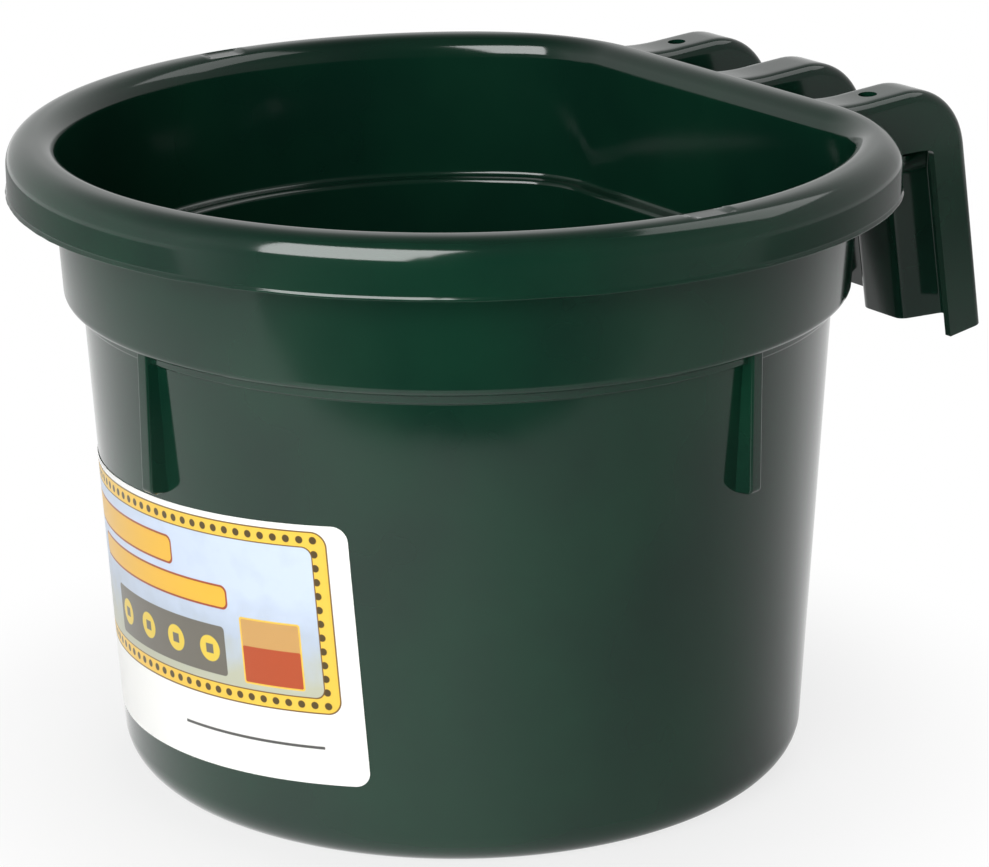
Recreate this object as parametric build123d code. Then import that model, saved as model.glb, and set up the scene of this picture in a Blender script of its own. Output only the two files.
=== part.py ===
"""Hook over feed pail: one moulded tub with a rolled rim, three hooks and a hanging skirt, plus a stuck-on label.

Frame: origin on the base at the centre of the round wall, +Z up, +Y toward the flat back and the hooks.
Millimetres.
"""
import math
import os

from build123d import *

# Tub
height = 212.0              # base to rim crown
base_r = 113.5              # outside of the round wall at the base
wall_top_r = 122.4          # outside of the round wall just under the shoulder
shoulder_drop = 52.5        # shoulder edge below the crown
band_r = 128.2              # outside of the upper band at the shoulder
wall_t = 2.8
floor_t = 3.0
base_round = 12.0           # rounded edge between wall and floor
body_flat_inset = 25.0      # flat back, in from the round wall
body_corner_angle = 45.0    # where the round wall turns into the back corners, from +X

# Double edge under the shoulder
bead_r = 124.2
bead_h = 3.3

# Rolled rim
rim_r = 145.0
rim_flat_inset = 25.4
rim_corner_angle = 37.6
skirt_depth = 17.3
skirt_t = 2.6
crown_t = 2.8
crown_out_round = 5.5
crown_in_round = 6.0

# Shallow pockets in the crown, one on each side
pocket_r = 136.0
pocket_y = -4.6
pocket_len = 16.0
pocket_wide = 7.0
pocket_depth = 1.0

# Stacking ribs under the shoulder
rib_r = 126.3
rib_wide = 5.0
rib_bottom_z = 114.0
rib_front_angle = -85.6
rib_spacing = 97.1

# Hooks
hook_pitch = 51.0
hook_half = 10.0            # half width over the webs
hook_root_z = 211.2         # top of the hook where it leaves the rim
hook_top_y = 143.5          # start of the bend
hook_top_z = 212.8
hook_bend_r = 24.3
leg_y = 167.5               # a point on the outer face of the leg
leg_z = 191.7
leg_splay = 8.8             # legs lean outward, degrees
leg_depth = 15.3
leg_length = 65.5           # from that point down to the foot of the leg
hook_t = 2.8
web_t = 2.6
slot_top_z = 192.2
slot_round = 3.0
hook_round = 4.0
screw_y = 131.0
screw_d = 6.3

# Corrugated skirt that joins the three legs
joint_drop = 3.7            # where the skirt starts, below the same leg point
web_slant = 0.57            # sideways run of the slanted webs per unit of depth

# Label
label_t = 0.3
label_gap = 0.1             # adhesive between label and wall
label_half_x = 75.5
label_h = 87.0
label_z = 66.5
label_tilt = 3.7
label_corner = 5.0

shoulder_z = height - shoulder_drop
wall_slope = (wall_top_r - base_r) / shoulder_z
draft = math.degrees(math.atan(wall_slope))
lean = math.radians(leg_splay)


def plan(r, flat_inset, corner_angle):
    """Round outline of radius r with a flat back and rounded back corners."""
    a = math.radians(corner_angle)
    reach = flat_inset / (1 - math.sin(a))      # corner centres sit this far from the axis
    cx, cy, rho = reach * math.cos(a), reach * math.sin(a), r - reach
    tx, ty = r * math.cos(a), r * math.sin(a)
    mid = (a + math.pi / 2) / 2
    mx, my = cx + rho * math.cos(mid), cy + rho * math.sin(mid)
    edges = [
        ThreePointArc((tx, ty), (0, -r), (-tx, ty)),
        ThreePointArc((-tx, ty), (-mx, my), (-cx, cy + rho)),
        Line((-cx, cy + rho), (cx, cy + rho)),
        ThreePointArc((cx, cy + rho), (mx, my), (tx, ty)),
    ]
    return make_face(Wire(edges))


def body_slab(r, z0, z1, taper=draft):
    """Slab of the tub's outline, r at its lower face, widening upward."""
    return extrude(Pos(0, 0, z0) * plan(r, body_flat_inset, body_corner_angle), z1 - z0, taper=-taper)


def rim_slab(r, z0, z1):
    return extrude(Pos(0, 0, z0) * plan(r, rim_flat_inset, rim_corner_angle), z1 - z0)


def edges_at(solid, z, tol=0.01):
    return solid.edges().filter_by(lambda e: abs(e.bounding_box().min.Z - z) < tol
                                   and abs(e.bounding_box().max.Z - z) < tol)


def tub_outside():
    wall = body_slab(base_r, 0, shoulder_z)
    wall = fillet(edges_at(wall, 0), base_round)
    bead_low = shoulder_z - bead_h
    bead = body_slab(bead_r, bead_low, shoulder_z + 1)
    bead = fillet(edges_at(bead, bead_low), 1.0)
    band = body_slab(band_r, shoulder_z, height - 1)
    band = fillet(edges_at(band, shoulder_z), 2.6)
    return wall + bead + band


def tub_inside():
    low_r = base_r - wall_t + wall_slope * floor_t
    ledge_z = shoulder_z + wall_t
    low = body_slab(low_r, floor_t, ledge_z)
    low = fillet(edges_at(low, floor_t), base_round - wall_t)
    high = body_slab(band_r - wall_t + wall_slope * wall_t, ledge_z, height + 5)
    both = low + high
    return fillet(edges_at(both, ledge_z), 1.8)


def rim():
    """Crown and skirt, still solid over the mouth of the tub."""
    low = height - skirt_depth
    outer = rim_slab(rim_r, low, height)
    outer = fillet(edges_at(outer, height), crown_out_round)
    hollow = rim_slab(rim_r - skirt_t, low - 1, height - crown_t)
    hollow = fillet(edges_at(hollow, height - crown_t), crown_out_round - skirt_t)
    core = body_slab(band_r, shoulder_z, height)
    return outer - (hollow - core)


def ribs():
    blank = Box(rib_r - 110, rib_wide, shoulder_z - rib_bottom_z + 1,
                align=(Align.MIN, Align.CENTER, Align.MIN))
    blank = Pos(110, 0, rib_bottom_z) * blank
    lower = blank.edges().filter_by(Axis.Y).group_by(Axis.Z)[0].sort_by(Axis.X)[-1]
    blank = fillet(lower, 2.0)
    long_edges = blank.edges().filter_by(Axis.Z).group_by(Axis.X)[-1]
    blank = fillet(long_edges, 0.8)
    return [Rot(0, 0, rib_front_angle + k * rib_spacing) * blank for k in (-1, 0, 1)]


def leg_point(drop, inward):
    """Point in the side view, drop down along the leg and inward from its outer face."""
    return (leg_y + drop * math.sin(lean) - inward * math.cos(lean),
            leg_z - drop * math.cos(lean) - inward * math.sin(lean))


def on_leg_line(y=None, z=None, inward=0.0):
    """Where the leg's line, moved inward, meets a given height."""
    y0, z0 = leg_point(0, inward)
    return (y0 + (z0 - z) * math.tan(lean), z)


def side_face(points, rounds):
    """Side-view face in the YZ plane, its corners rounded by index."""
    face = make_face(Polyline(*points, close=True))
    for (y, z), r in rounds:
        v = face.vertices().sort_by_distance((y, z, 0))[0]
        face = fillet(v, r)
    return Plane.YZ * face


def hook_channel():
    """One hook over its root, bend and top of the leg: an inverted channel with straight webs."""
    rise = (hook_top_z - hook_root_z) / (hook_top_y - (rim_r - rim_flat_inset))
    root_y = rim_r - rim_flat_inset - skirt_t / 2

    def top_z(y, t=0.0):
        return hook_top_z - t + (y - hook_top_y) * rise

    def corner(t):
        y, z = leg_y, leg_z
        for _ in range(30):                     # top line meets the leg's outer line
            z = top_z(y, t)
            y = leg_point(0, t)[0] + (leg_point(0, t)[1] - z) * math.tan(lean)
        return (y, z)

    inner_top = on_leg_line(z=slot_top_z, inward=leg_depth)
    outer_pts = [(root_y, top_z(root_y)), corner(0), leg_point(joint_drop, 0),
                 leg_point(joint_drop, leg_depth), inner_top, (root_y, slot_top_z)]
    block = extrude(side_face(outer_pts, [(corner(0), hook_bend_r), (inner_top, slot_round)]),
                    hook_half, both=True)
    long_edges = block.edges().filter_by(
        lambda e: abs(abs(e.center().X) - hook_half) < 1e-3
        and (top_z(e.center().Y) - e.center().Z < 0.4
             or (e.center().Y > leg_point(0, 2.0)[0] - 25 and e.center().Z > slot_top_z + 4
                 and math.hypot(e.center().Y - inner_top[0], e.center().Z - inner_top[1]) > 12)
             or abs((e.center().Y - leg_y) * math.cos(lean) + (e.center().Z - leg_z) * math.sin(lean)) < 0.4))
    block = fillet(long_edges, hook_round)
    back_y = rim_r - rim_flat_inset
    far_in = leg_point(joint_drop + 5, leg_depth + 20)
    inner_pts = [(back_y, top_z(back_y, hook_t)), corner(hook_t), leg_point(joint_drop + 5, hook_t),
                 far_in, (back_y, far_in[1])]
    cavity = extrude(side_face(inner_pts, [(corner(hook_t), hook_bend_r - hook_t)]),
                     hook_half - web_t, both=True)
    return block - cavity


def skirt_sheet():
    """Corrugated sheet: legs at the outer plane, recessed panels between them at the inner plane."""
    depth, t = leg_depth, web_t
    skew = t * math.hypot(1, web_slant)
    panel_out = depth - t
    end = hook_pitch + hook_half
    half_out = lambda w: hook_half + web_slant * w          # outer side of a slanted web
    half_in = lambda w: hook_half - skew + web_slant * w    # inner side of it
    right_out = [(half_out(0), 0), (half_out(panel_out), -panel_out),
                 (hook_pitch - half_out(panel_out), -panel_out), (hook_pitch - half_out(0), 0),
                 (end, 0), (end, -depth)]
    right_in = [(end - web_t, -depth), (end - web_t, -hook_t),
                (hook_pitch - half_in(hook_t), -hook_t), (hook_pitch - half_in(depth), -depth),
                (half_in(depth), -depth), (half_in(hook_t), -hook_t)]
    right = right_out + right_in
    left = [(-x, w) for x, w in reversed(right)]
    face = make_face(Polyline(*right, *left, close=True))
    bends = [((x, w), hook_round if w == 0 else 2.4) for x, w in right_out[:-1]]
    bends += [((x, w), 1.4 if w == -hook_t else 3.6) for x, w in right_in[1:]]
    for (x, w), r in bends:
        for s in (-1, 1):
            face = fillet(face.vertices().sort_by_distance((s * x, w, 0))[0], r)
    y, z = leg_point(joint_drop, 0)
    frame = Plane(origin=(0, y, z), x_dir=(1, 0, 0), z_dir=(0, -math.sin(lean), math.cos(lean)))
    return extrude(frame * face, -(leg_length - joint_drop))


def pail():
    body = tub_outside()
    for rib in ribs():
        body = body + rib
    body = body + rim() - tub_inside()
    mouth = edges_at(body, height).group_by(SortBy.LENGTH)[0]
    body = fillet(mouth, crown_in_round)
    for s in (-1, 1):
        body = body - Pos(s * pocket_r, pocket_y, height) * Box(pocket_wide, pocket_len, 2 * pocket_depth)
    for k in (-1, 0, 1):
        body = body + Pos(k * hook_pitch, 0, 0) * hook_channel()
    body = body + skirt_sheet()
    for k in (-1, 1):
        body = body - Pos(k * hook_pitch, screw_y, height) * Cylinder(screw_d / 2, 12)
    return body


def label():
    """Thin sheet on the front of the tapered wall, set a little askew."""
    outline = RectangleRounded(2 * label_half_x, label_h, label_corner)
    window = Plane.XZ * (Rot(0, 0, label_tilt) * outline)
    window = extrude(Pos(0, 0, label_z) * window, 200)
    under_r = base_r + label_gap
    skin = body_slab(under_r + label_t, 0, shoulder_z) - body_slab(under_r, 0, shoulder_z)
    return skin & window


def main():
    os.makedirs("parts", exist_ok=True)
    for name, solid in (("pail", pail()), ("label", label())):
        export_step(solid, f"parts/{name}.step")


main()
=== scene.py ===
"""Looks of the hook over feed pail: glossy dark green moulded tub, hooks and a printed film label.

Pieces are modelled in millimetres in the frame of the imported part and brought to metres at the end.
"""
import sys

import logging
import math
from dataclasses import dataclass, field
from enum import Enum
from typing import Callable, Iterable, Sequence

import bmesh
import bpy
from mathutils import Matrix, Vector, noise


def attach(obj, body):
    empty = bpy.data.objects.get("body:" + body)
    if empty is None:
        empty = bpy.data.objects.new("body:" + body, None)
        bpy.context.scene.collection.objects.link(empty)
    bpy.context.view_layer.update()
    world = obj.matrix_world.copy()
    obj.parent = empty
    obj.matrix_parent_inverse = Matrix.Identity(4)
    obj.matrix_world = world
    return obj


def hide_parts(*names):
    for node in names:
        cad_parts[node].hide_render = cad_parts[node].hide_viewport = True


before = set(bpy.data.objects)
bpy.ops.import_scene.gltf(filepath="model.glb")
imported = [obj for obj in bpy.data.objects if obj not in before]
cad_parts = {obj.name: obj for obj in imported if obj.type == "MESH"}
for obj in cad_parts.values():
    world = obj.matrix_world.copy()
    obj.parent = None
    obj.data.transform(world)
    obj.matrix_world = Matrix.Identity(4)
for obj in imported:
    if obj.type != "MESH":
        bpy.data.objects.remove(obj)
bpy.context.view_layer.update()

Socket = bpy.types.NodeSocket
Tree = bpy.types.NodeTree

MM = 0.001
CAMERA_AZIMUTH = math.radians(-35.0)    # from the pail's axis toward the camera
log = logging.getLogger("feed_pail")


class Slot(Enum):
    """Material slots of the record."""
    PLASTIC = "pail_plastic"
    LABEL = "label_paper"


@dataclass(frozen=True)
class Corner:
    """Corner of an outline in its own plane, with the radius and the number of steps of its round."""
    a: float
    b: float
    round: float = 0.0
    steps: int = 6


def corner_arc(before: Vector, at: Vector, after: Vector, radius: float, steps: int) -> list[Vector]:
    """Points of the arc that rounds one corner.

    Args:
        before: the corner before it.
        at: the corner itself.
        after: the corner after it.
        radius: radius of the round.
        steps: number of straight steps in the arc.

    Returns:
        steps + 1 points, from one tangent point to the other.
    """
    to_before, to_after = (before - at).normalized(), (after - at).normalized()
    half = to_before.angle(to_after) / 2
    centre = at + (to_before + to_after).normalized() * radius / math.sin(half)
    start = at + to_before * radius / math.tan(half) - centre
    turn = start.angle_signed(at + to_after * radius / math.tan(half) - centre)
    return [centre + Matrix.Rotation(-turn * k / steps, 2) @ start for k in range(steps + 1)]


def rounded_path(corners: Sequence[Corner], longest: float = math.inf, guard: float = 0.0) -> list[Vector]:
    """Open outline through corners, with rounds, and long runs divided.

    Args:
        corners: the corners in order; the first and last aren't rounded.
        longest: longest run that stays undivided.
        guard: distance from both ends of a long run at which a point keeps the run's shading flat.

    Returns:
        The points of the outline.
    """
    flat = [Vector((c.a, c.b)) for c in corners]
    points = [flat[0]]
    for k in range(1, len(corners) - 1):
        if corners[k].round:
            points += corner_arc(flat[k - 1], flat[k], flat[k + 1], corners[k].round, corners[k].steps)
        else:
            points.append(flat[k])
    points.append(flat[-1])
    path = [points[0]]
    for point in points[1:]:
        start, run = path[-1], point - path[-1]
        parts = max(1, math.ceil(run.length / longest - 1e-6))
        shares = {k / parts for k in range(1, parts + 1)}
        if guard and run.length > 6 * guard:
            shares |= {guard / run.length, 1 - guard / run.length}
        path += [start + run * share for share in sorted(shares)]
    return path


def add_chain(bm: bmesh.types.BMesh, points: Iterable[Vector]) -> list[bmesh.types.BMEdge]:
    """Adds a chain of edges through points and returns its edges."""
    verts = [bm.verts.new(p) for p in points]
    return [bm.edges.new(pair) for pair in zip(verts, verts[1:])]


def loft(bm: bmesh.types.BMesh, stations: Sequence[Sequence[Vector]]) -> None:
    """Extrudes a chain of edges from station to station.

    Args:
        bm: the mesh to add to.
        stations: rows of points, all with the same count.
    """
    edges = add_chain(bm, stations[0])
    row = list(stations[0])
    for points in stations[1:]:
        order = {Vector(p).to_tuple(4): k for k, p in enumerate(row)}
        grown = bmesh.ops.extrude_edge_only(bm, edges=edges)["geom"]
        new_verts = {g for g in grown if isinstance(g, bmesh.types.BMVert)}
        edges = [g for g in grown if isinstance(g, bmesh.types.BMEdge) and set(g.verts) <= new_verts]
        for vert in new_verts:
            vert.co = points[order[vert.co.to_tuple(4)]]
        row = list(points)


def stand(section: Iterable[Vector], at: Vector, normal: Vector) -> list[Vector]:
    """Stands a section's (across, depth) points at a point of the side view, depth along the normal."""
    return [Vector((p.x, *(at + normal * p.y))) for p in section]


def to_piece(bm: bmesh.types.BMesh, name: str, sharp_angle: float = 40.0) -> bpy.types.Object:
    """Turns a mesh in millimetres into a piece in metres, smooth but for its sharp edges.

    Args:
        bm: the mesh; it is freed.
        name: name of the piece.
        sharp_angle: edges that turn more than this many degrees stay sharp.

    Returns:
        The new object, at the origin and unturned.
    """
    bmesh.ops.scale(bm, vec=(MM, MM, MM), verts=bm.verts)
    mesh = bpy.data.meshes.new(name)
    bm.to_mesh(mesh)
    bm.free()
    piece = bpy.data.objects.new(name, mesh)
    bpy.context.collection.objects.link(piece)
    mesh.shade_smooth()
    mesh.set_sharp_from_angle(angle=math.radians(sharp_angle))
    return piece


def even_gloss(piece: bpy.types.Object) -> None:
    """Lets large faces lead the shading, so that flats stay flat beside small rounds."""
    weigh = piece.modifiers.new("even gloss", "WEIGHTED_NORMAL")
    weigh.mode, weigh.keep_sharp = "FACE_AREA", True


def apply_modifiers(piece: bpy.types.Object, sharp_angle: float = 40.0) -> None:
    """Bakes a piece's modifiers into its mesh and sets its sharp edges again.

    Args:
        piece: the piece.
        sharp_angle: edges that turn more than this many degrees stay sharp.
    """
    ready = piece.evaluated_get(bpy.context.evaluated_depsgraph_get())
    mesh = bpy.data.meshes.new_from_object(ready)
    old = piece.data
    mesh.name = piece.name
    piece.modifiers.clear()
    piece.data = mesh
    bpy.data.meshes.remove(old)
    mesh.shade_smooth()
    mesh.set_sharp_from_angle(angle=math.radians(sharp_angle))


def face_outward(bm: bmesh.types.BMesh) -> None:
    """Closes seams and points the faces of a closed shell outwards."""
    bmesh.ops.remove_doubles(bm, verts=bm.verts, dist=0.002)
    bmesh.ops.recalc_face_normals(bm, faces=bm.faces)


def linear(hex_colour: str) -> tuple[float, float, float, float]:
    """Linear RGBA of an sRGB hex colour such as #0d3c2a."""
    channels = [int(hex_colour[k:k + 2], 16) / 255 for k in (1, 3, 5)]
    return (*[c / 12.92 if c <= 0.04045 else ((c + 0.055) / 1.055) ** 2.4 for c in channels], 1.0)


def add_node(tree: Tree, kind: str, settings: dict[str | int, object] | None = None) -> bpy.types.Node:
    """Adds a node with its settings and links.

    Args:
        tree: the node tree.
        kind: Blender's type name of the node.
        settings: values by property name, then values or output sockets by input name or number.

    Returns:
        The new node.
    """
    node = tree.nodes.new(kind)
    for key, value in (settings or {}).items():
        if isinstance(value, Socket):
            tree.links.new(value, node.inputs[key])
        elif isinstance(key, str) and hasattr(node, key):
            setattr(node, key, value)
        else:
            node.inputs[key].default_value = value
    return node


def set_ramp(node: bpy.types.Node, stops: Sequence[tuple[float, tuple[float, float, float, float]]]) -> None:
    """Gives a colour ramp its stops.

    Args:
        node: the colour ramp node.
        stops: (position, colour) pairs in rising order.
    """
    ramp = node.color_ramp
    while len(ramp.elements) > 1:
        ramp.elements.remove(ramp.elements[-1])
    ramp.elements[0].position, ramp.elements[0].color = stops[0]
    for position, colour in stops[1:]:
        ramp.elements.new(position).color = colour


def blank_material(name: str) -> bpy.types.Material:
    """Adds a material whose node tree is still empty.

    Args:
        name: its common name and how its surface was made.

    Returns:
        The material.
    """
    material = bpy.data.materials.new(name)
    material.use_nodes = True
    material.node_tree.nodes.clear()
    return material


@dataclass(frozen=True)
class GlossyPolyethylene:
    """Injection moulded polyethylene, dark green through and through.

    A polished mould leaves a wet gloss with slow waves of shrinkage in it, handling leaves dull smudges, and
    a faint grain breaks the mirror.
    """
    deep: str = "#0b2a1f"
    fresh: str = "#0e3324"
    ior: float = 1.5
    polished: float = 0.085
    handled: float = 0.14
    smudge_mm: float = 60.0
    wave_mm: float = 45.0
    wave_height_mm: float = 1.2
    wave_strength: float = 0.12
    grain_mm: float = 1.6
    grain_height_mm: float = 0.04
    grain_strength: float = 0.05

    def build(self) -> bpy.types.Material:
        """Builds the material.

        Returns:
            The new material.
        """
        material = blank_material("moulded polyethylene, dark green")
        tree = material.node_tree
        place = add_node(tree, "ShaderNodeTexCoord").outputs["Object"]
        smudges = add_node(tree, "ShaderNodeTexNoise", {
            "Vector": place, "Scale": 1 / (self.smudge_mm * MM), "Detail": 3.0, "Roughness": 0.5})
        colour = add_node(tree, "ShaderNodeValToRGB", {"Fac": smudges.outputs["Fac"]})
        set_ramp(colour, [(0.35, linear(self.deep)), (0.65, linear(self.fresh))])
        dull = add_node(tree, "ShaderNodeMapRange", {
            "Value": smudges.outputs["Fac"], "From Min": 0.35, "From Max": 0.7,
            "To Min": self.polished, "To Max": self.handled})
        waves = add_node(tree, "ShaderNodeTexNoise", {
            "Vector": place, "Scale": 1 / (self.wave_mm * MM), "Detail": 1.0})
        grain = add_node(tree, "ShaderNodeTexNoise", {
            "Vector": place, "Scale": 1 / (self.grain_mm * MM), "Detail": 2.0})
        slow = add_node(tree, "ShaderNodeBump", {
            "Height": waves.outputs["Fac"], "Strength": self.wave_strength,
            "Distance": self.wave_height_mm * MM})
        fine = add_node(tree, "ShaderNodeBump", {
            "Height": grain.outputs["Fac"], "Strength": self.grain_strength,
            "Distance": self.grain_height_mm * MM, "Normal": slow.outputs["Normal"]})
        shader = add_node(tree, "ShaderNodeBsdfPrincipled", {
            "Base Color": colour.outputs["Color"], "Roughness": dull.outputs["Result"], "IOR": self.ior,
            "Normal": fine.outputs["Normal"]})
        add_node(tree, "ShaderNodeOutputMaterial", {"Surface": shader.outputs["BSDF"]})
        return material


@dataclass(frozen=True)
class Patch:
    """Printed rectangle with rounded corners, in millimetres on the flat label, and its ink."""
    x: float
    y: float
    half_x: float
    half_y: float
    corner: float
    ink: str


@dataclass(frozen=True)
class PrintedFilm:
    """White polypropylene film label with a satin print; pale, even, and a little glossier than paper.

    The print is a generic one: a yellow frame with dark studs, a hazy field, a grey plate with yellow discs,
    two bold bars, a two-coloured panel and a thin rule.
    """
    film: str = "#f6f6f3"
    yellow: str = "#eec34a"
    stud: str = "#4d3c12"
    rule: str = "#6b4a12"
    sky: str = "#b7c3d3"
    high_sky: str = "#c9d6ea"
    ground: str = "#b9bba6"
    plate: str = "#6a665c"
    disc: str = "#e3c64a"
    bar: str = "#eab638"
    bar_edge: str = "#9a3d16"
    panel: str = "#b04a22"
    panel_top: str = "#c79a5c"
    ink: str = "#4c4c4a"
    ior: float = 1.49
    roughness: float = 0.32
    frame_at: tuple[float, float] = (1.5, 11.0)
    frame_half: tuple[float, float] = (73.5, 30.5)
    stud_pitch: float = 4.6
    stud_r: float = 1.25
    stud_blur: float = 0.15
    edge_blur: float = 0.12
    bars: tuple[tuple[float, float, float, float], ...] = ((-24.0, 27.0, 36.0, 4.2), (-4.0, 15.5, 40.0, 3.4))
    bar_rim: float = 0.7
    disc_xs: tuple[float, ...] = (-23.0, -6.3, 10.4, 27.0)
    disc_y: float = -3.0
    disc_r: float = 4.4
    disc_hole: float = 1.6
    horizon: tuple[float, float] = (-14.0, 20.0)
    haze_mm: float = 11.1111
    haze_share: float = 0.7
    ripple_mm: float = 7.142857
    ripple_height_mm: float = 0.4
    ripple_strength: float = 0.1

    def build(self) -> bpy.types.Material:
        """Builds the material.

        Returns:
            The new material.
        """
        material = blank_material("printed polypropylene film")
        tree = material.node_tree
        uv = add_node(tree, "ShaderNodeUVMap", {"uv_map": Label.UV_NAME}).outputs["UV"]
        place = add_node(tree, "ShaderNodeVectorMath", {
            "operation": "SCALE", 0: uv, "Scale": Label.UV_MM}).outputs["Vector"]
        frame_edge, frame_face = self._frame(0.0, 5.0, self.rule), self._frame(0.5, 4.6, self.yellow)
        inner_edge, inner = self._frame(5.1, 3.4, self.rule), self._frame(5.5, 3.2, self.sky)
        layers = [(self._mask(tree, place, patch), linear(patch.ink)) for patch in (frame_edge, frame_face)]
        layers.append((self._studs(tree, place), linear(self.stud)))
        layers.append((self._mask(tree, place, inner_edge), linear(inner_edge.ink)))
        layers.append((self._mask(tree, place, inner), self._haze(tree, place)))
        layers += [(self._mask(tree, place, patch), linear(patch.ink)) for patch in self._motifs()]
        colour = linear(self.film)
        for mask, ink in layers:
            colour = add_node(tree, "ShaderNodeMix", {
                "data_type": "RGBA", 0: mask, 6: colour, 7: ink}).outputs[2]
        ripple = add_node(tree, "ShaderNodeTexNoise", {
            "Vector": place, "Scale": 1 / self.ripple_mm, "Detail": 1.0})
        bump = add_node(tree, "ShaderNodeBump", {
            "Height": ripple.outputs["Fac"], "Strength": self.ripple_strength,
            "Distance": self.ripple_height_mm * MM})
        shader = add_node(tree, "ShaderNodeBsdfPrincipled", {
            "Base Color": colour, "Roughness": self.roughness, "IOR": self.ior,
            "Normal": bump.outputs["Normal"]})
        add_node(tree, "ShaderNodeOutputMaterial", {"Surface": shader.outputs["BSDF"]})
        return material

    def _frame(self, inset: float, corner: float, ink: str) -> Patch:
        """Patch as large as the frame less an inset all round."""
        return Patch(*self.frame_at, self.frame_half[0] - inset, self.frame_half[1] - inset, corner, ink)

    def _motifs(self) -> list[Patch]:
        """Motifs over the hazy field and under it.

        Returns:
            Their patches, from the lowest up.
        """
        patches = []
        for x, y, half_x, half_y in self.bars:
            patches.append(Patch(x, y, half_x + self.bar_rim, half_y + self.bar_rim, 2.4, self.bar_edge))
            patches.append(Patch(x, y, half_x, half_y, 2.0, self.bar))
        patches.append(Patch(2.0, self.disc_y, 32.0, 8.4, 1.4, self.plate))
        for x in self.disc_xs:
            patches.append(Patch(x, self.disc_y, self.disc_r, self.disc_r, self.disc_r, self.disc))
            patches.append(Patch(x, self.disc_y, self.disc_hole, self.disc_hole, 0.2, self.plate))
        patches.append(Patch(52.0, -1.0, 11.2, 11.2, 1.0, self.yellow))
        patches.append(Patch(52.0, -1.0, 10.6, 10.6, 0.6, self.panel_top))
        patches.append(Patch(52.0, -5.5, 10.6, 6.1, 0.6, self.panel))
        patches.append(Patch(40.0, -31.0, 28.0, 0.5, 0.3, self.ink))
        return patches

    def _haze(self, tree: Tree, place: Socket) -> Socket:
        """Colour of the field, from the ground up to a high sky, blurred by soft clouds.

        Args:
            tree: the node tree.
            place: millimetres on the flat label.

        Returns:
            The colour socket.
        """
        split = add_node(tree, "ShaderNodeSeparateXYZ", {"Vector": place})
        clouds = add_node(tree, "ShaderNodeTexNoise", {
            "Vector": place, "Scale": 1 / self.haze_mm, "Detail": 4.0})
        rise = add_node(tree, "ShaderNodeMapRange", {
            "Value": split.outputs["Y"], "From Min": self.horizon[0], "From Max": self.horizon[1]})
        blur = add_node(tree, "ShaderNodeMath", {
            "operation": "MULTIPLY_ADD", 0: clouds.outputs["Fac"], 1: self.haze_share,
            2: -self.haze_share / 2})
        level = add_node(tree, "ShaderNodeMath", {
            "operation": "ADD", 0: rise.outputs["Result"], 1: blur.outputs["Value"]})
        ramp = add_node(tree, "ShaderNodeValToRGB", {"Fac": level.outputs["Value"]})
        set_ramp(ramp, [(0.1, linear(self.ground)), (0.55, linear(self.sky)), (1.0, linear(self.high_sky))])
        return ramp.outputs["Color"]

    def _mask(self, tree: Tree, place: Socket, patch: Patch) -> Socket:
        """Mask of a patch.

        Args:
            tree: the node tree.
            place: millimetres on the flat label.
            patch: the patch.

        Returns:
            A socket that is 1 inside the patch and 0 outside it.
        """
        core = (patch.half_x - patch.corner, patch.half_y - patch.corner, 0.0)
        reach = place
        for operation, by in (("SUBTRACT", (patch.x, patch.y, 0.0)), ("ABSOLUTE", None), ("SUBTRACT", core),
                              ("MAXIMUM", (0.0, 0.0, 0.0))):
            settings = {"operation": operation, 0: reach} | ({1: by} if by else {})
            reach = add_node(tree, "ShaderNodeVectorMath", settings).outputs["Vector"]
        return self._inside(tree, reach, patch.corner, self.edge_blur)

    def _studs(self, tree: Tree, place: Socket) -> Socket:
        """Mask of round studs in rows, which the field later covers but for the frame.

        Args:
            tree: the node tree.
            place: millimetres on the flat label.

        Returns:
            A socket that is 1 on a stud and 0 beside it.
        """
        half = self.stud_pitch / 2
        off = add_node(tree, "ShaderNodeVectorMath", {
            "operation": "SUBTRACT", 0: place, 1: (*self.frame_at, 0.0)})
        cell = add_node(tree, "ShaderNodeVectorMath", {
            "operation": "WRAP", 0: off.outputs["Vector"], 1: (half, half, half), 2: (-half, -half, -half)})
        dots = self._inside(tree, cell.outputs["Vector"], self.stud_r, self.stud_blur)
        band = self._mask(tree, place, self._frame(1.2, 3.0, self.stud))
        return add_node(tree, "ShaderNodeMath", {"operation": "MULTIPLY", 0: dots, 1: band}).outputs["Value"]

    def _inside(self, tree: Tree, reach: Socket, radius: float, blur: float) -> Socket:
        """Mask of where a vector is shorter than a radius.

        Args:
            tree: the node tree.
            reach: the vector.
            radius: the radius.
            blur: half width of the soft edge.

        Returns:
            A socket that is 1 inside the radius and 0 outside it.
        """
        length = add_node(tree, "ShaderNodeVectorMath", {"operation": "LENGTH", 0: reach})
        edge = add_node(tree, "ShaderNodeMapRange", {
            "Value": length.outputs["Value"], "From Min": radius - blur, "From Max": radius + blur,
            "To Min": 1.0, "To Max": 0.0})
        return edge.outputs["Result"]


@dataclass(frozen=True)
class Outline:
    """Round outline with a flat back, all radii in one family."""
    flat_inset: float
    corner_angle: float

    def reach(self, radius: float, angle: float) -> float:
        """Distance from the axis to the outline.

        Args:
            radius: radius of the round part.
            angle: direction from +X, in radians.

        Returns:
            The distance in the same unit as the radius.
        """
        turn = math.radians(self.corner_angle)
        centre_reach = self.flat_inset / (1 - math.sin(turn))
        folded = math.asin(max(-1.0, min(1.0, math.sin(angle))))
        if folded <= turn:
            return radius
        centre = Vector((math.cos(turn), math.sin(turn))) * centre_reach
        ray = Vector((math.cos(folded), math.sin(folded)))
        flat = (radius - self.flat_inset) / ray.y
        if flat * ray.x <= centre.x:
            return flat
        along = centre.dot(ray)
        small = radius - centre_reach
        return along + math.sqrt(max(0.0, along * along - centre.length_squared + small * small))


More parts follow.
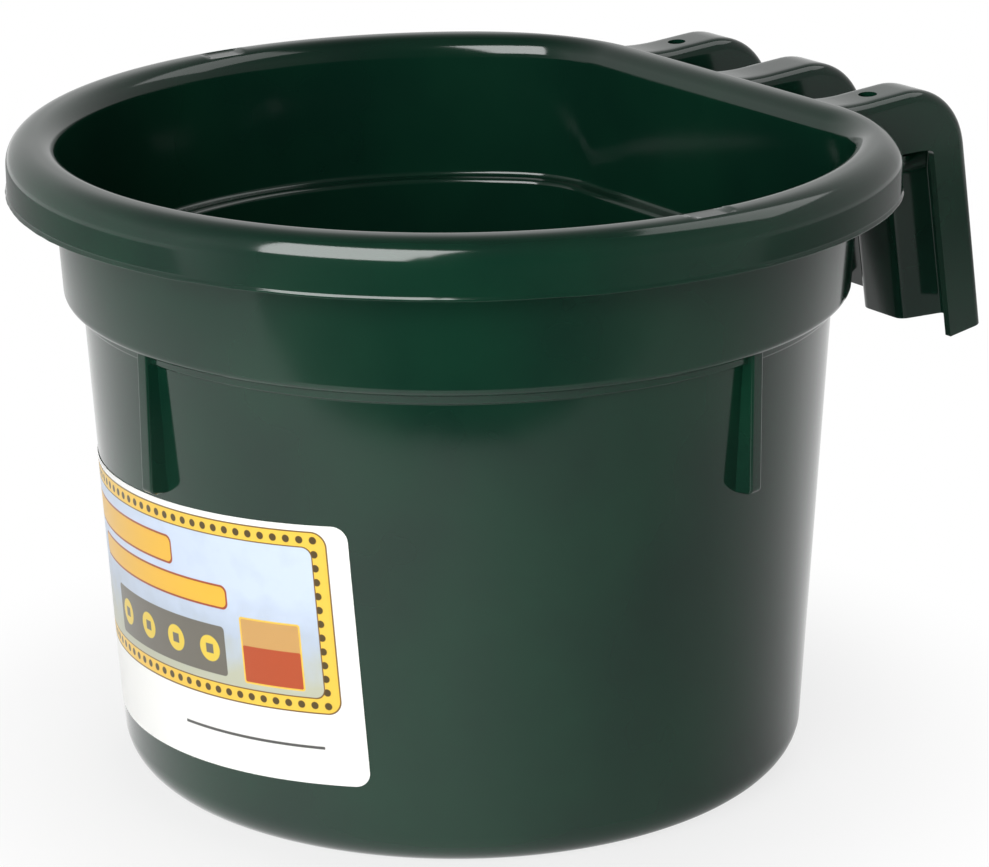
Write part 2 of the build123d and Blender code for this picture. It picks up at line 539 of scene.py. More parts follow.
@dataclass
class Tub:
    """Tapered tub with its shoulder, upper band and rolled rim.

    It is spun as one closed wall and then pressed flat behind.
    """
    height: float = 212.0
    base_r: float = 113.5
    slope: float = 0.0558
    wall: float = 2.8
    floor: float = 3.0
    base_round: float = 12.0
    shoulder_z: float = 159.5
    bead_r: float = 124.2
    bead_h: float = 3.3
    band_r: float = 128.2
    rim_r: float = 145.0
    skirt_depth: float = 17.3
    skirt: float = 2.6
    crown: float = 2.8
    crown_round: float = 8.2
    mouth_round: float = 7.6
    steps: int = 528            # around the axis, a multiple of 8
    flash: float = 0.5
    flash_lump: float = 0.16
    flash_wave: float = 0.2
    pocket: tuple[float, float, float, float] = (136.0, -4.6, 3.5, 6.8)     # radius, y, half of each side
    pocket_depth: float = 1.0
    weld_angle: float = -38.9
    weld_dent: float = 0.03
    weld_wide: float = 1.6
    weld_reach: float = 6.0     # how far in from the rim's edge the weld line shows
    body_plan: Outline = Outline(25.0, 45.0)
    rim_plan: Outline = Outline(25.4, 37.6)
    smallest_pressed_r: float = 105.0
    body_reach: float = 133.5   # the plan of the body turns into that of the rim between these radii
    rim_reach: float = 139.5

    def wall_r(self, z: float) -> float:
        """Outer radius of the lower wall."""
        return self.base_r + self.slope * z

    def band_outer(self, z: float) -> float:
        """Outer radius of the upper band."""
        return self.band_r + self.slope * (z - self.shoulder_z)

    def profile(self) -> list[Vector]:
        """Closed wall from the axis under the base, out, over the rim, and back to the axis inside.

        Returns:
            Its (radius, height) points.
        """
        bead_z = self.shoulder_z - self.bead_h
        under = self.height - self.crown
        hem = self.height - self.skirt_depth
        inner = self.rim_r - self.skirt
        ledge = self.shoulder_z + self.wall
        band_in = self.band_r - self.wall
        low_in = self.base_r - self.wall
        mouth = band_in + self.slope * (self.height - ledge)
        f = self.flash
        corners = [
            Corner(0, 0), Corner(self.base_r, 0, self.base_round, 10),
            Corner(self.wall_r(bead_z), bead_z, 0.3, 2), Corner(self.bead_r, bead_z, 0.9, 5),
            Corner(self.bead_r + self.slope * self.bead_h, self.shoulder_z, 0.25, 2),
            Corner(self.band_r, self.shoulder_z, 2.6, 8),
            Corner(self.band_outer(under), under, 1.0, 3), Corner(inner, under, 2.4, 5),
            Corner(inner, hem, 0.4, 2),
            Corner(self.rim_r - 0.3, hem, 0.1, 1), Corner(self.rim_r - 0.1, hem - f, 0.1, 1),
            Corner(self.rim_r + f, hem - 0.7 * f, 0.2, 3), Corner(self.rim_r + f, hem + 0.5 * f, 0.3, 3),
            Corner(self.rim_r, hem + 1.7 * f, 0.12, 1),
            Corner(self.rim_r, self.height, self.crown_round, 14),
            Corner(mouth, self.height, self.mouth_round, 12),
            Corner(band_in, ledge, 1.6, 6), Corner(low_in + self.slope * ledge, ledge, 1.8, 8),
            Corner(low_in + self.slope * self.floor, self.floor, self.base_round - self.wall, 8),
            Corner(0, self.floor)]
        return rounded_path(corners, longest=14.0, guard=0.5)

    def pressed(self, r: float, angle: float) -> float:
        """Distance from the axis once the back is pressed flat.

        Args:
            r: the distance before that.
            angle: direction from +X, in radians.

        Returns:
            The distance.
        """
        body = (self.body_plan.reach(max(r, self.smallest_pressed_r), angle)
                * min(1.0, r / self.smallest_pressed_r))
        share = (r - self.body_reach) / (self.rim_reach - self.body_reach)
        if share <= 0:
            return body
        return body + (self.rim_plan.reach(r, angle) - body) * min(1.0, share)

    def _mould_marks(self, r: float, z: float, angle: float) -> tuple[float, float]:
        """Moves a point of the rim for its uneven flash and its weld line.

        Args:
            r: distance from the axis.
            z: height.
            angle: direction from +X, in radians.

        Returns:
            The new distance and height.
        """
        hem = self.height - self.skirt_depth
        if r > self.rim_r - self.flash and abs(z - hem) < 1.2 * self.flash:
            r += self.flash_lump * noise.noise(Vector((math.cos(angle), math.sin(angle), 0)) * 34)
            z += self.flash_wave * noise.noise(Vector((math.cos(angle), math.sin(angle), 5)) * 11)
        if r > self.rim_r - self.weld_reach:
            away = (angle - math.radians(self.weld_angle)) * r
            r -= self.weld_dent * math.exp(-(away / self.weld_wide) ** 2)
        return r, z

    def build(self) -> bpy.types.Object:
        """Spins the wall in eight equal parts, marks the rim and presses the back flat.

        Returns:
            The piece.
        """
        bm = bmesh.new()
        chain = add_chain(bm, [Vector((p.x, 0, p.y)) for p in self.profile()])
        verts = list({v for e in chain for v in e.verts})
        bmesh.ops.spin(bm, geom=verts + chain, cent=(0, 0, 0), axis=(0, 0, 1), angle=math.pi / 4,
                       steps=self.steps // 8)
        for turn in (math.pi / 4, math.pi / 2, math.pi):
            copy = bmesh.ops.duplicate(bm, geom=list(bm.verts) + list(bm.edges) + list(bm.faces))["geom"]
            bmesh.ops.rotate(bm, cent=(0, 0, 0), matrix=Matrix.Rotation(turn, 3, "Z"),
                             verts=[g for g in copy if isinstance(g, bmesh.types.BMVert)])
        face_outward(bm)
        centre_r, centre_y, half_r, half_y = self.pocket
        for vert in bm.verts:
            r, angle = math.hypot(vert.co.x, vert.co.y), math.atan2(vert.co.y, vert.co.x)
            if r < 1e-3:
                continue
            in_pocket = (abs(r - centre_r) <= half_r and abs(vert.co.y - centre_y) <= half_y
                         and vert.co.z > self.height - 2)
            r, vert.co.z = self._mould_marks(r, vert.co.z, angle)
            if in_pocket:
                vert.co.z = min(vert.co.z, self.height - self.pocket_depth)
            r = self.pressed(r, angle)
            vert.co.x, vert.co.y = r * math.cos(angle), r * math.sin(angle)
        return to_piece(bm, "tub", 32.0)


@dataclass
class StackingRibs:
    """Three short ribs under the shoulder that keep stacked pails apart."""
    tub: Tub
    outer_r: float = 126.3
    inner_r: float = 119.75
    wide: float = 5.0
    bottom_z: float = 114.0
    front_angle: float = -85.6
    spacing: float = 97.1
    edge_round: float = 0.8
    foot_round: float = 2.0

    def build(self) -> bpy.types.Object:
        """Builds the ribs.

        Returns:
            One piece with all three.
        """
        bm = bmesh.new()
        for k in (-1, 0, 1):
            self._add_rib(bm, math.radians(self.front_angle + k * self.spacing))
        piece = to_piece(bm, "stacking_ribs", 50.0)
        even_gloss(piece)
        return piece

    def _add_rib(self, bm: bmesh.types.BMesh, angle: float) -> None:
        """Adds one rib.

        Args:
            bm: the mesh to add to.
            angle: its direction from +X, in radians.
        """
        top = self.tub.shoulder_z + 0.5
        size = Vector((self.outer_r - self.inner_r, self.wide, top - self.bottom_z))
        centre = Vector(((self.outer_r + self.inner_r) / 2, 0, (top + self.bottom_z) / 2))
        cube = bmesh.ops.create_cube(bm, size=1.0)["verts"]
        bmesh.ops.scale(bm, vec=size, verts=cube)
        bmesh.ops.translate(bm, vec=centre, verts=cube)
        edges = {e for v in cube for e in v.link_edges}
        foot = [e for e in edges if all(v.co.x > centre.x and v.co.z < centre.z for v in e.verts)]
        rounded = bmesh.ops.bevel(bm, geom=foot, offset=self.foot_round, segments=5, profile=0.5,
                                  affect="EDGES", material=-1)
        verts = {v for f in rounded["faces"] for v in f.verts} | {v for v in cube if v.is_valid}
        long_edges = [e for v in verts for e in v.link_edges
                      if all(w in verts and abs(abs(w.co.y) - self.wide / 2) < 1e-4 for w in e.verts)
                      and e.verts[0].co.y * e.verts[1].co.y > 0
                      and all(w.co.x > self.inner_r + 1 for w in e.verts) and not e.is_wire
                      and len(e.link_faces) == 2 and e.calc_face_angle(0) > 1.0]
        done = bmesh.ops.bevel(bm, geom=list(set(long_edges)), offset=self.edge_round, segments=3,
                               profile=0.5, affect="EDGES", material=-1)
        verts = {v for v in verts if v.is_valid} | {v for f in done["faces"] for v in f.verts}
        bmesh.ops.rotate(bm, cent=(0, 0, 0), matrix=Matrix.Rotation(angle, 3, "Z"), verts=list(verts))


@dataclass
class BoardHooks:
    """Three moulded hooks that bend over a board, their legs joined by a corrugated skirt."""
    pitch: float = 51.0
    half: float = 10.0
    wall: float = 2.65
    top_y: float = 143.5
    top_z: float = 212.8
    rise: float = 0.067
    root_y: float = 112.6
    root_z: float = 211.9
    root_blend_y: float = 127.0
    skirt_in_y: float = 118.0
    skirt_out_y: float = 118.5
    bend_r: float = 24.3
    leg_at: tuple[float, float] = (167.5, 191.7)
    lean: float = math.radians(8.8)
    leg_depth: float = 15.3
    panel_depth: float = 12.7
    joint_drop: float = 3.7
    ramp: float = 9.0
    leg_length: float = 65.5
    slant: float = 0.57
    slot_top_z: float = 192.2
    edge_round: float = 4.0
    fold_round: float = 2.4
    screw_y: float = 131.0
    screw_d: float = 6.3
    hole_grid: float = 1.5
    hole_cells: int = 3
    bends: int = 16
    root_rows: tuple[float, ...] = (114.0, 115.5, 117.0)
    flat_rows: tuple[float, ...] = (120.5, 123.5)
    leg_rows: tuple[float, ...] = (22.0, 33.0, 44.0, 55.0)
    slot_sharpness: float = 0.55    # of the corner between the slot's top and the leg
    soft_edge: float = 0.35

    def leg_point(self, drop: float, inward: float) -> Vector:
        """Point of a leg in the side view.

        Args:
            drop: distance down along the leg.
            inward: distance in from its outer face.

        Returns:
            The point.
        """
        y, z = self.leg_at
        sin, cos = math.sin(self.lean), math.cos(self.lean)
        return Vector((y + drop * sin - inward * cos, z - drop * cos - inward * sin))

    def top_line(self, y: float) -> float:
        """Height of the hook's top, which leaves the crown tangent to it.

        Args:
            y: place along the hook.

        Returns:
            The height.
        """
        line = self.top_z + (y - self.top_y) * self.rise
        left = max(0.0, (self.root_blend_y - y) / (self.root_blend_y - self.root_y))
        root_line = self.top_z + (self.root_y - self.top_y) * self.rise
        return line + (self.root_z - root_line) * left * left

    def bend_centre(self) -> tuple[Vector, float]:
        """Finds the bend that is tangent to the top and to the leg.

        Returns:
            Its centre in the side view, and how far down the leg it ends.
        """
        tilt = math.atan(self.rise)
        normal = Vector((-math.sin(tilt), math.cos(tilt)))
        start = self.leg_point(0, self.bend_r)
        down = self.leg_point(1, self.bend_r) - start
        short = -self.bend_r - (start - Vector((self.top_y, self.top_z))).dot(normal)
        drop = short / down.dot(normal)
        return self.leg_point(drop, self.bend_r), drop

    def slot_distance(self, centre: Vector, angle: float) -> float:
        """Distance from the bend's centre to the edge of the slot, with its corner rounded.

        Args:
            centre: the bend's centre in the side view.
            angle: direction from it, in radians.

        Returns:
            The distance.
        """
        gaps = []
        if math.sin(angle) > 0.01:
            gaps.append((self.slot_top_z - centre.y) / math.sin(angle))
        if math.cos(angle - self.lean) > 0.01:
            gaps.append((self.bend_r - self.leg_depth) / math.cos(angle - self.lean))
        return -math.log(sum(math.exp(-self.slot_sharpness * g) for g in gaps)) / self.slot_sharpness

    def leg_inward(self) -> Vector:
        """Direction in the side view from the outer face of a leg into it."""
        return -Vector((math.cos(self.lean), math.sin(self.lean)))

    def top_marks(self) -> list[float]:
        """Places across the flat top of a hook where its mesh is divided, for the screw hole."""
        return [k * self.hole_grid for k in range(-self.hole_cells, self.hole_cells + 1)]

    def arch_section(self, hook: int, left_depth: float, right_depth: float) -> list[Vector]:
        """Cross-section of one hook above the joint.

        Args:
            hook: -1, 0 or 1, from left to right.
            left_depth: depth of its left web.
            right_depth: depth of its right web.

        Returns:
            Its (across, depth) points.
        """
        centre = hook * self.pitch
        corners = [Corner(centre - self.half, left_depth), Corner(centre - self.half, 0, self.edge_round)]
        corners += [Corner(centre + x, 0) for x in self.top_marks()]
        corners += [Corner(centre + self.half, 0, self.edge_round), Corner(centre + self.half, right_depth)]
        return rounded_path(corners)

    def leg_section(self, slant: float) -> list[Vector]:
        """Cross-section of the corrugated skirt.

        Args:
            slant: sideways run of its slanted webs per unit of depth.

        Returns:
            Its (across, depth) points.
        """
        end = self.pitch + self.half
        run = slant * self.panel_depth
        corners = [Corner(-end, self.leg_depth), Corner(-end, 0, self.edge_round)]
        for hook in (-1, 0, 1):
            centre = hook * self.pitch
            if hook > -1:
                corners.append(Corner(centre - self.half - run, self.panel_depth, self.fold_round))
                corners.append(Corner(centre - self.half, 0, self.edge_round))
            corners += [Corner(centre + x, 0) for x in self.top_marks()]
            if hook < 1:
                corners.append(Corner(centre + self.half, 0, self.edge_round))
                corners.append(Corner(centre + self.half + run, self.panel_depth, self.fold_round))
        corners += [Corner(end, 0, self.edge_round), Corner(end, self.leg_depth)]
        return rounded_path(corners)

    def arch_stations(self, hook: int) -> list[list[Vector]]:
        """Divides one hook from the rim over the bend to the joint with the skirt.

        Args:
            hook: -1, 0 or 1, from left to right.

        Returns:
            Its rows of points.
        """
        centre, drop = self.bend_centre()
        hole_edge = self.hole_grid * self.hole_cells
        ys = [self.root_y, *self.root_rows, self.skirt_in_y, self.skirt_out_y, *self.flat_rows]
        ys += [self.screw_y + m for m in self.top_marks()]
        ys += [self.screw_y + hole_edge + 2.5]
        rows = []
        for y in ys:
            z = self.top_line(y)
            depth = self.edge_round + 0.2 if y <= self.skirt_in_y else z - self.slot_top_z
            rows.append((Vector((y, z)), Vector((0, -1)), depth, depth))
        first = math.pi / 2 + math.atan(self.rise)
        for k in range(self.bends + 1):
            angle = first + (self.lean - first) * k / self.bends
            out = Vector((math.cos(angle), math.sin(angle)))
            depth = self.bend_r - self.slot_distance(centre, angle)
            rows.append((centre + out * self.bend_r, -out, depth, depth))
        fold_start = self.panel_depth - self.fold_round
        for share in (0.5, 1.0):
            at = drop + (self.joint_drop - drop) * share
            inner = self.leg_depth + (fold_start - self.leg_depth) * share
            left = self.leg_depth if hook == -1 else inner
            right = self.leg_depth if hook == 1 else inner
            rows.append((self.leg_point(at, 0), self.leg_inward(), left, right))
        return [stand(self.arch_section(hook, left, right), at, normal) for at, normal, left, right in rows]

    def leg_stations(self) -> list[list[Vector]]:
        """Divides the corrugated skirt from the joint down to the feet.

        Returns:
            Its rows of points.
        """
        drops = [self.joint_drop + self.ramp * k / 5 for k in range(6)]
        drops += [*self.leg_rows, self.leg_length]
        rows = []
        for drop in drops:
            share = min(1.0, (drop - self.joint_drop) / self.ramp)
            eased = share * share * (3 - 2 * share)
            section = self.leg_section(self.slant * eased)
            rows.append(stand(section, self.leg_point(drop, 0), self.leg_inward()))
        return rows

    def _cut_hole(self, bm: bmesh.types.BMesh, hook: int) -> None:
        """Opens the round screw hole in the top of one hook.

        Args:
            bm: the mesh of the hooks.
            hook: -1 or 1, left or right.
        """
        x0, edge = hook * self.pitch, self.hole_grid * self.hole_cells + 0.01
        inside = [f for f in bm.faces
                  if abs(f.calc_center_median().x - x0) < edge
                  and abs(f.calc_center_median().y - self.screw_y) < edge
                  and f.calc_center_median().z > self.slot_top_z + 10]
        border = {e for f in inside for e in f.edges if sum(g in inside for g in e.link_faces) == 1}
        corners = {v for e in border for v in e.verts}
        bmesh.ops.delete(bm, geom=inside, context="FACES")
        count = 8 * self.hole_cells
        ring = bmesh.ops.create_circle(bm, segments=count, radius=self.screw_d / 2)["verts"]
        bmesh.ops.rotate(bm, cent=(0, 0, 0), matrix=Matrix.Rotation(math.pi / 4, 3, "Z"), verts=ring)
        for vert in ring:
            vert.co += Vector((x0, self.screw_y, 0))
            vert.co.z = self.top_line(vert.co.y)
        circle = {e for v in ring for e in v.link_edges}
        border = {e for v in corners if v.is_valid for e in v.link_edges if e.is_boundary
                  and all(w in corners for w in e.verts)}
        bmesh.ops.bridge_loops(bm, edges=list(border | circle))

    def build(self) -> bpy.types.Object:
        """Builds the hooks and their skirt as one sheet and gives it its wall.

        Returns:
            The piece.
        """
        bm = bmesh.new()
        for hook in (-1, 0, 1):
            loft(bm, self.arch_stations(hook))
        loft(bm, self.leg_stations())
        bmesh.ops.remove_doubles(bm, verts=bm.verts, dist=0.01)
        for hook in (-1, 1):
            self._cut_hole(bm, hook)
        bmesh.ops.recalc_face_normals(bm, faces=bm.faces)
        bm.faces.ensure_lookup_table()
        top = max(bm.faces, key=lambda f: f.calc_center_median().z)
        if top.normal.z < 0:
            bmesh.ops.reverse_faces(bm, faces=bm.faces)
        piece = to_piece(bm, "board_hooks", 40.0)
        shell = piece.modifiers.new("wall", "SOLIDIFY")
        shell.thickness, shell.offset, shell.use_even_offset = self.wall * MM, -1.0, True
        soften = piece.modifiers.new("soft edges", "BEVEL")
        soften.width, soften.segments, soften.limit_method = self.soft_edge * MM, 2, "ANGLE"
        soften.angle_limit = math.radians(55)
        apply_modifiers(piece, 38.0)
        even_gloss(piece)
        return piece


@dataclass
class Label:
    """Film label, cut flat with rounded corners and wrapped on the tapered wall a little askew."""
    tub: Tub
    half_x: float = 82.0
    half_y: float = 43.5
    corner: float = 5.0
    centre_angle: float = -90.6
    centre_z: float = 66.5
    row_tilt: float = math.radians(3.4)
    edge_tilt: float = math.radians(0.9)
    lift: float = 0.12
    thick: float = 0.14
    cell: float = 3.0

    UV_NAME = "flat label"
    UV_MM = 100.0               # one unit of the UV map is this many millimetres on the flat label

    def build(self) -> bpy.types.Object:
        """Cuts, maps and wraps the label, which then gets its thickness outward.

        Returns:
            The piece.
        """
        bm = bmesh.new()
        sheet = bmesh.ops.create_grid(bm, x_segments=1, y_segments=1, size=1.0)["verts"]
        bmesh.ops.scale(bm, vec=(self.half_x, self.half_y, 1), verts=sheet)
        bmesh.ops.bevel(bm, geom=list(bm.verts), offset=self.corner, segments=8, profile=0.5,
                        affect="VERTICES", material=-1)
        for axis, half in ((Vector((1, 0, 0)), self.half_x), (Vector((0, 1, 0)), self.half_y)):
            for k in range(1, int(2 * half / self.cell)):
                bmesh.ops.bisect_plane(bm, geom=list(bm.verts) + list(bm.edges) + list(bm.faces),
                                       plane_co=axis * (-half + k * self.cell), plane_no=axis)
        uv_layer = bm.loops.layers.uv.new(self.UV_NAME)
        for face in bm.faces:
            for loop in face.loops:
                loop[uv_layer].uv = (loop.vert.co.x / self.UV_MM, loop.vert.co.y / self.UV_MM)
        for vert in bm.verts:
            flat = Vector((vert.co.x - vert.co.y * math.sin(self.edge_tilt),
                           vert.co.y + vert.co.x * math.sin(self.row_tilt)))
            z = self.centre_z + flat.y
            angle = math.radians(self.centre_angle) + flat.x / self.tub.wall_r(z)
            r = self.tub.wall_r(z) + self.lift
            vert.co = Vector((r * math.cos(angle), r * math.sin(angle), z))
        bm.normal_update()
        piece = to_piece(bm, "film_label", 50.0)
        film = piece.modifiers.new("film", "SOLIDIFY")
        film.thickness, film.offset = self.thick * MM, 1.0
        apply_modifiers(piece, 50.0)
        even_gloss(piece)
        return piece


@dataclass(frozen=True)
class Softbox:
    """Rectangular lamp that faces the pail's rim and serves the gloss alone or the plain colours alone.

    Sizes are in metres, and angles in degrees, to the right of the camera and up from level.
    """
    name: str
    size: tuple[float, float]
    watts: float
    azimuth: float
    elevation: float
    distance: float
    for_gloss: bool
    aim_z: float = 0.2

    def hang(self) -> None:
        """Hangs the lamp in the scene."""
        light = bpy.data.lights.new(self.name, "AREA")
        light.shape = "RECTANGLE"
        light.size, light.size_y = self.size
        light.energy = self.watts
        lamp = bpy.data.objects.new(self.name, light)
        turn, rise = CAMERA_AZIMUTH + math.radians(self.azimuth), math.radians(self.elevation)
        away = Vector((math.cos(turn) * math.cos(rise), math.sin(turn) * math.cos(rise), math.sin(rise)))
        lamp.location = away * self.distance + Vector((0, 0, self.aim_z))
        lamp.rotation_euler = away.to_track_quat("Z", "Y").to_euler()
        lamp.visible_diffuse, lamp.visible_glossy = not self.for_gloss, self.for_gloss
        bpy.context.collection.objects.link(lamp)


@dataclass(frozen=True)
class Studio:
    """White set: two softboxes for the gloss, low lights in front and behind, and a table in a darker room.

    The stops give what a shiny side wall mirrors: (degrees to the right of the camera, brightness). Those of
    table_end give where the table ends in the gloss, in metres from the pail's axis.
    """
    room: tuple[tuple[float, float], ...] = (
        (-180, 1.0), (-72, 1.0), (-50, 0.4), (-32, 0.16), (-15, 0.06), (0, 0.03), (15, 0.06), (30, 0.12),
        (50, 0.3), (70, 0.42), (95, 0.58), (120, 0.7), (180, 1.0))
    table: tuple[tuple[float, float], ...] = (
        (-180, 1.0), (-30, 1.1), (0, 0.88), (15, 0.68), (32, 0.52), (50, 0.44), (70, 0.5), (95, 0.68),
        (120, 0.95), (180, 1.0))
    table_end: tuple[tuple[float, float], ...] = (
        (-180, 1.2), (-72, 0.9), (-50, 0.54), (-38, 0.46), (-27, 0.44), (-14, 0.422), (14, 0.422),
        (27, 0.44), (45, 0.49), (60, 0.6), (80, 0.9), (180, 1.2))
    table_end_soft: float = 0.02
    table_half: float = 2.2
    table_z: float = -0.0002
    table_albedo: float = 0.8
    dim_from: float = 0.5       # the gloss shows the table dimmer between these distances
    dim_to: float = 0.78
    dim_level: float = 0.36
    shadow_from: float = 0.1    # the camera sees the pail's shadow fade out between these distances
    shadow_to: float = 0.22
    shadow_fade: float = 0.78
    fill: float = 0.27
    fill_above: float = 0.05
    ceiling: float = 0.12
    ceiling_from: float = 0.45  # heights of a ray's direction between which walls turn to ceiling
    ceiling_to: float = 0.97
    softboxes: tuple[Softbox, ...] = (
        Softbox("window softbox", (1.0, 1.2), 34.0, -30.0, 39.0, 1.5, True),
        Softbox("edge softbox", (0.9, 0.9), 4.5, 110.0, 50.0, 1.6, True),
        Softbox("front light", (1.2, 1.2), 29.0, -22.0, 14.0, 1.6, False),
        Softbox("back light", (1.2, 1.2), 17.0, 165.0, 14.0, 1.6, False))
    camera_at: tuple[float, float, float] = (0.97176, -0.68044, 0.49999)
    camera_turn: tuple[float, float, float] = (71.6278, 0.4701, 54.2879)
    lens: float = 137.111
    sensor: float = 36.0

    def _direction(self, tree: Tree, place: Socket) -> Socket:
        """Direction about the pail's axis.

        Args:
            tree: the node tree.
            place: a place or a ray's direction.

        Returns:
            A socket that goes once from 0 to 1 round the axis, with 0.5 toward the camera.
        """
        split = add_node(tree, "ShaderNodeSeparateXYZ", {"Vector": place})
        angle = add_node(tree, "ShaderNodeMath", {
            "operation": "ARCTAN2", 0: split.outputs["Y"], 1: split.outputs["X"]})
        turned = add_node(tree, "ShaderNodeMath", {
            "operation": "SUBTRACT", 0: angle.outputs["Value"], 1: CAMERA_AZIMUTH - math.pi})
        share = add_node(tree, "ShaderNodeMath", {
            "operation": "DIVIDE", 0: turned.outputs["Value"], 1: 2 * math.pi})
        return add_node(tree, "ShaderNodeMath", {
            "operation": "FRACT", 0: share.outputs["Value"]}).outputs["Value"]

    def _level(self, tree: Tree, direction: Socket, stops: Sequence[tuple[float, float]]) -> Socket:
        """Level that changes with the direction.

        Args:
            tree: the node tree.
            direction: the socket that _direction gives.
            stops: (degrees to the right of the camera, level) pairs in rising order.

        Returns:
            The level's socket.
        """
        top = max(level for _, level in stops)
        ramp = add_node(tree, "ShaderNodeValToRGB", {"Fac": direction})
        set_ramp(ramp, [((offset + 180) / 360, (level / top,) * 3 + (1.0,)) for offset, level in stops])
        return add_node(tree, "ShaderNodeMath", {
            "operation": "MULTIPLY", 0: ramp.outputs["Color"], 1: top}).outputs["Value"]

    def world(self) -> None:
        """White to the camera, a room with dark and bright sides to gloss, and an even fill to the rest."""
        world = bpy.data.worlds.new("studio")
        bpy.context.scene.world = world
        world.use_nodes = True
        tree = world.node_tree
        tree.nodes.clear()
        place = add_node(tree, "ShaderNodeTexCoord").outputs["Generated"]
        walls = self._level(tree, self._direction(tree, place), self.room)
        split = add_node(tree, "ShaderNodeSeparateXYZ", {"Vector": place})
        up = add_node(tree, "ShaderNodeMapRange", {
            "Value": split.outputs["Z"], "From Min": self.ceiling_from, "From Max": self.ceiling_to})
        room = add_node(tree, "ShaderNodeMix", {
            "data_type": "FLOAT", 0: up.outputs["Result"], 2: walls, 3: self.ceiling})
        even = add_node(tree, "ShaderNodeMix", {
            "data_type": "FLOAT", 0: up.outputs["Result"], 2: self.fill, 3: self.fill_above})
        path = add_node(tree, "ShaderNodeLightPath")
        lit = add_node(tree, "ShaderNodeMix", {
            "data_type": "FLOAT", 0: path.outputs["Is Glossy Ray"], 2: even.outputs[0], 3: room.outputs[0]})
        clear = add_node(tree, "ShaderNodeMath", {
            "operation": "MAXIMUM", 0: path.outputs["Is Camera Ray"],
            1: path.outputs["Is Transmission Ray"]})
        strength = add_node(tree, "ShaderNodeMix", {
            "data_type": "FLOAT", 0: clear.outputs["Value"], 2: lit.outputs[0], 3: 1.0})
        background = add_node(tree, "ShaderNodeBackground", {"Strength": strength.outputs[0]})
        add_node(tree, "ShaderNodeOutputWorld", {"Surface": background.outputs["Background"]})

    def _mirrored_table(self, tree: Tree, place: Socket, distance: Socket) -> Socket:
        """Brightness that the gloss shows where it mirrors the table, or the room past the table's end.

        Args:
            tree: the node tree.
            place: a place on the table.
            distance: its distance from the pail's axis.

        Returns:
            The brightness socket.
        """
        direction = self._direction(tree, place)
        dim = add_node(tree, "ShaderNodeMapRange", {
            "Value": distance, "From Min": self.dim_from, "From Max": self.dim_to,
            "To Min": 1.0, "To Max": self.dim_level})
        near = add_node(tree, "ShaderNodeMath", {
            "operation": "MULTIPLY", 0: self._level(tree, direction, self.table), 1: dim.outputs["Result"]})
        past_end = add_node(tree, "ShaderNodeMath", {
            "operation": "SUBTRACT", 0: distance, 1: self._level(tree, direction, self.table_end)})
        ended = add_node(tree, "ShaderNodeMapRange", {
            "interpolation_type": "SMOOTHSTEP", "Value": past_end.outputs["Value"],
            "From Max": self.table_end_soft})
        return add_node(tree, "ShaderNodeMix", {
            "data_type": "FLOAT", 0: ended.outputs["Result"], 2: near.outputs["Value"],
            3: self._level(tree, direction, self.room)}).outputs[0]

    def table_finish(self) -> bpy.types.Material:
        """White laminate that keeps the pail's shadow and fades to the white background.

        Returns:
            The new material.
        """
        material = blank_material("white laminate table")
        tree = material.node_tree
        place = add_node(tree, "ShaderNodeTexCoord").outputs["Object"]
        distance = add_node(tree, "ShaderNodeVectorMath", {"operation": "LENGTH", 0: place}).outputs["Value"]
        path = add_node(tree, "ShaderNodeLightPath")
        plain = add_node(tree, "ShaderNodeBsdfDiffuse", {"Color": (*(self.table_albedo,) * 3, 1.0)})
        white = add_node(tree, "ShaderNodeEmission", {"Strength": 1.0})
        fade = add_node(tree, "ShaderNodeMapRange", {
            "interpolation_type": "SMOOTHSTEP", "Value": distance, "From Min": self.shadow_from,
            "From Max": self.shadow_to, "To Min": self.shadow_fade})
        faded = add_node(tree, "ShaderNodeMath", {
            "operation": "MULTIPLY", 0: fade.outputs["Result"], 1: path.outputs["Is Camera Ray"]})
        shown = add_node(tree, "ShaderNodeMixShader", {
            0: faded.outputs["Value"], 1: plain.outputs["BSDF"], 2: white.outputs["Emission"]})
        mirrored = add_node(tree, "ShaderNodeEmission", {
            "Strength": self._mirrored_table(tree, place, distance)})
        surface = add_node(tree, "ShaderNodeMixShader", {
            0: path.outputs["Is Glossy Ray"], 1: shown.outputs["Shader"], 2: mirrored.outputs["Emission"]})
        add_node(tree, "ShaderNodeOutputMaterial", {"Surface": surface.outputs["Shader"]})
        return material

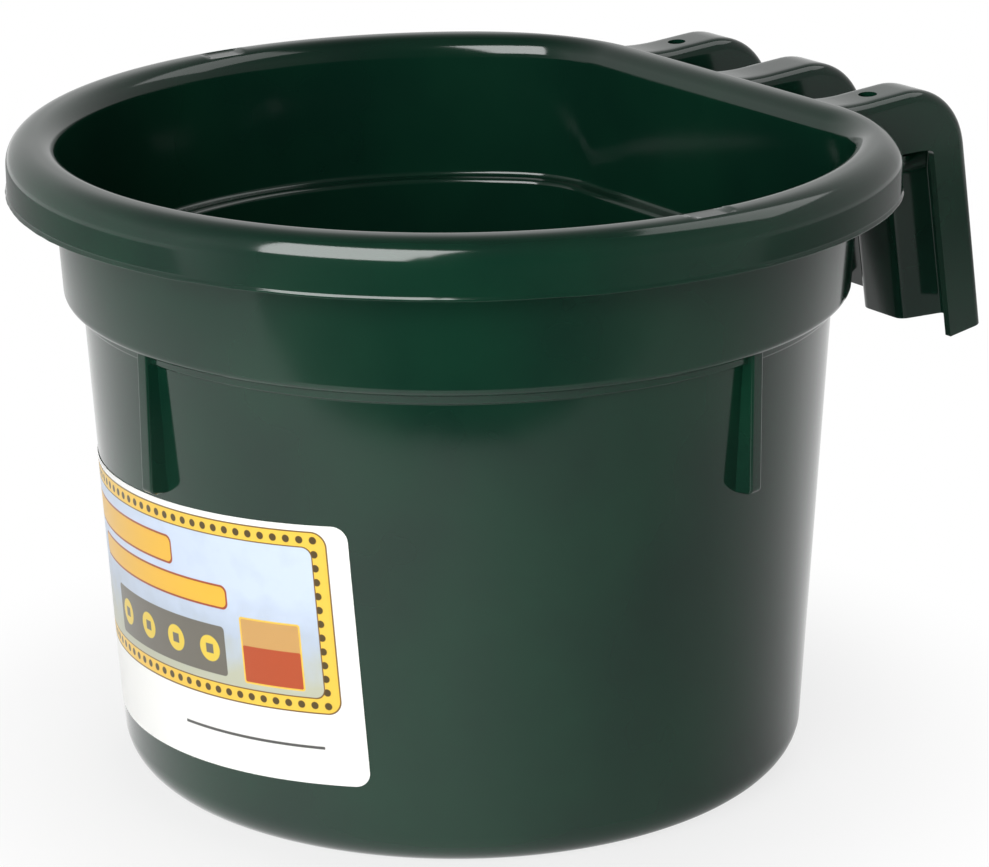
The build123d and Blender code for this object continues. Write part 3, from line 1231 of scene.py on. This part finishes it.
    def lay_table(self) -> None:
        """Lays the table around the pail."""
        bm = bmesh.new()
        verts = bmesh.ops.create_grid(bm, x_segments=1, y_segments=1, size=1.0)["verts"]
        bmesh.ops.scale(bm, vec=(self.table_half, self.table_half, 1), verts=verts)
        bmesh.ops.translate(bm, vec=(0, 0, self.table_z), verts=verts)
        mesh = bpy.data.meshes.new("table")
        bm.to_mesh(mesh)
        bm.free()
        table = bpy.data.objects.new("table", mesh)
        bpy.context.collection.objects.link(table)
        mesh.materials.append(self.table_finish())

    def place_camera(self) -> None:
        """Sets the camera at the photograph's place and lens."""
        data = bpy.data.cameras.new("camera")
        data.sensor_fit, data.sensor_width, data.lens = "HORIZONTAL", self.sensor, self.lens
        camera = bpy.data.objects.new("camera", data)
        camera.location = self.camera_at
        camera.rotation_euler = tuple(math.radians(a) for a in self.camera_turn)
        bpy.context.collection.objects.link(camera)
        bpy.context.scene.camera = camera

    def build(self) -> None:
        """Builds the world, the table, the lamps and the camera."""
        self.world()
        self.lay_table()
        for softbox in self.softboxes:
            softbox.hang()
        self.place_camera()


@dataclass
class FeedPail:
    """The whole pail: its moulding in three modelled parts, and its label."""
    tub: Tub = field(default_factory=Tub)
    hooks: BoardHooks = field(default_factory=BoardHooks)

    def build(self) -> list[bpy.types.Object]:
        """Builds and dresses every piece.

        Returns:
            The pieces, in the order in which they were built.
        """
        plastic = GlossyPolyethylene().build()
        printed = PrintedFilm().build()
        makers: list[tuple[Callable[[], bpy.types.Object], bpy.types.Material, str, Slot]] = [
            (self.tub.build, plastic, "pail", Slot.PLASTIC),
            (StackingRibs(self.tub).build, plastic, "pail", Slot.PLASTIC),
            (self.hooks.build, plastic, "pail", Slot.PLASTIC),
            (Label(self.tub).build, printed, "label", Slot.LABEL)]
        pieces = []
        for make, material, node, slot in makers:
            piece = make()
            piece.data.materials.clear()
            piece.data.materials.append(material)
            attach(piece, "root")
            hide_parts(node)
            pieces.append(piece)
        return pieces


def main() -> None:
    """Builds the pail and its studio."""
    logging.basicConfig(level=logging.INFO, stream=sys.stdout, format="%(name)s: %(message)s")
    bpy.context.scene.view_settings.view_transform = "Standard"
    for piece in FeedPail().build():
        piece.data.calc_loop_triangles()
        log.info("%s: %d triangles", piece.name, len(piece.data.loop_triangles))
    Studio().build()


if __name__ == "__main__":
    main()
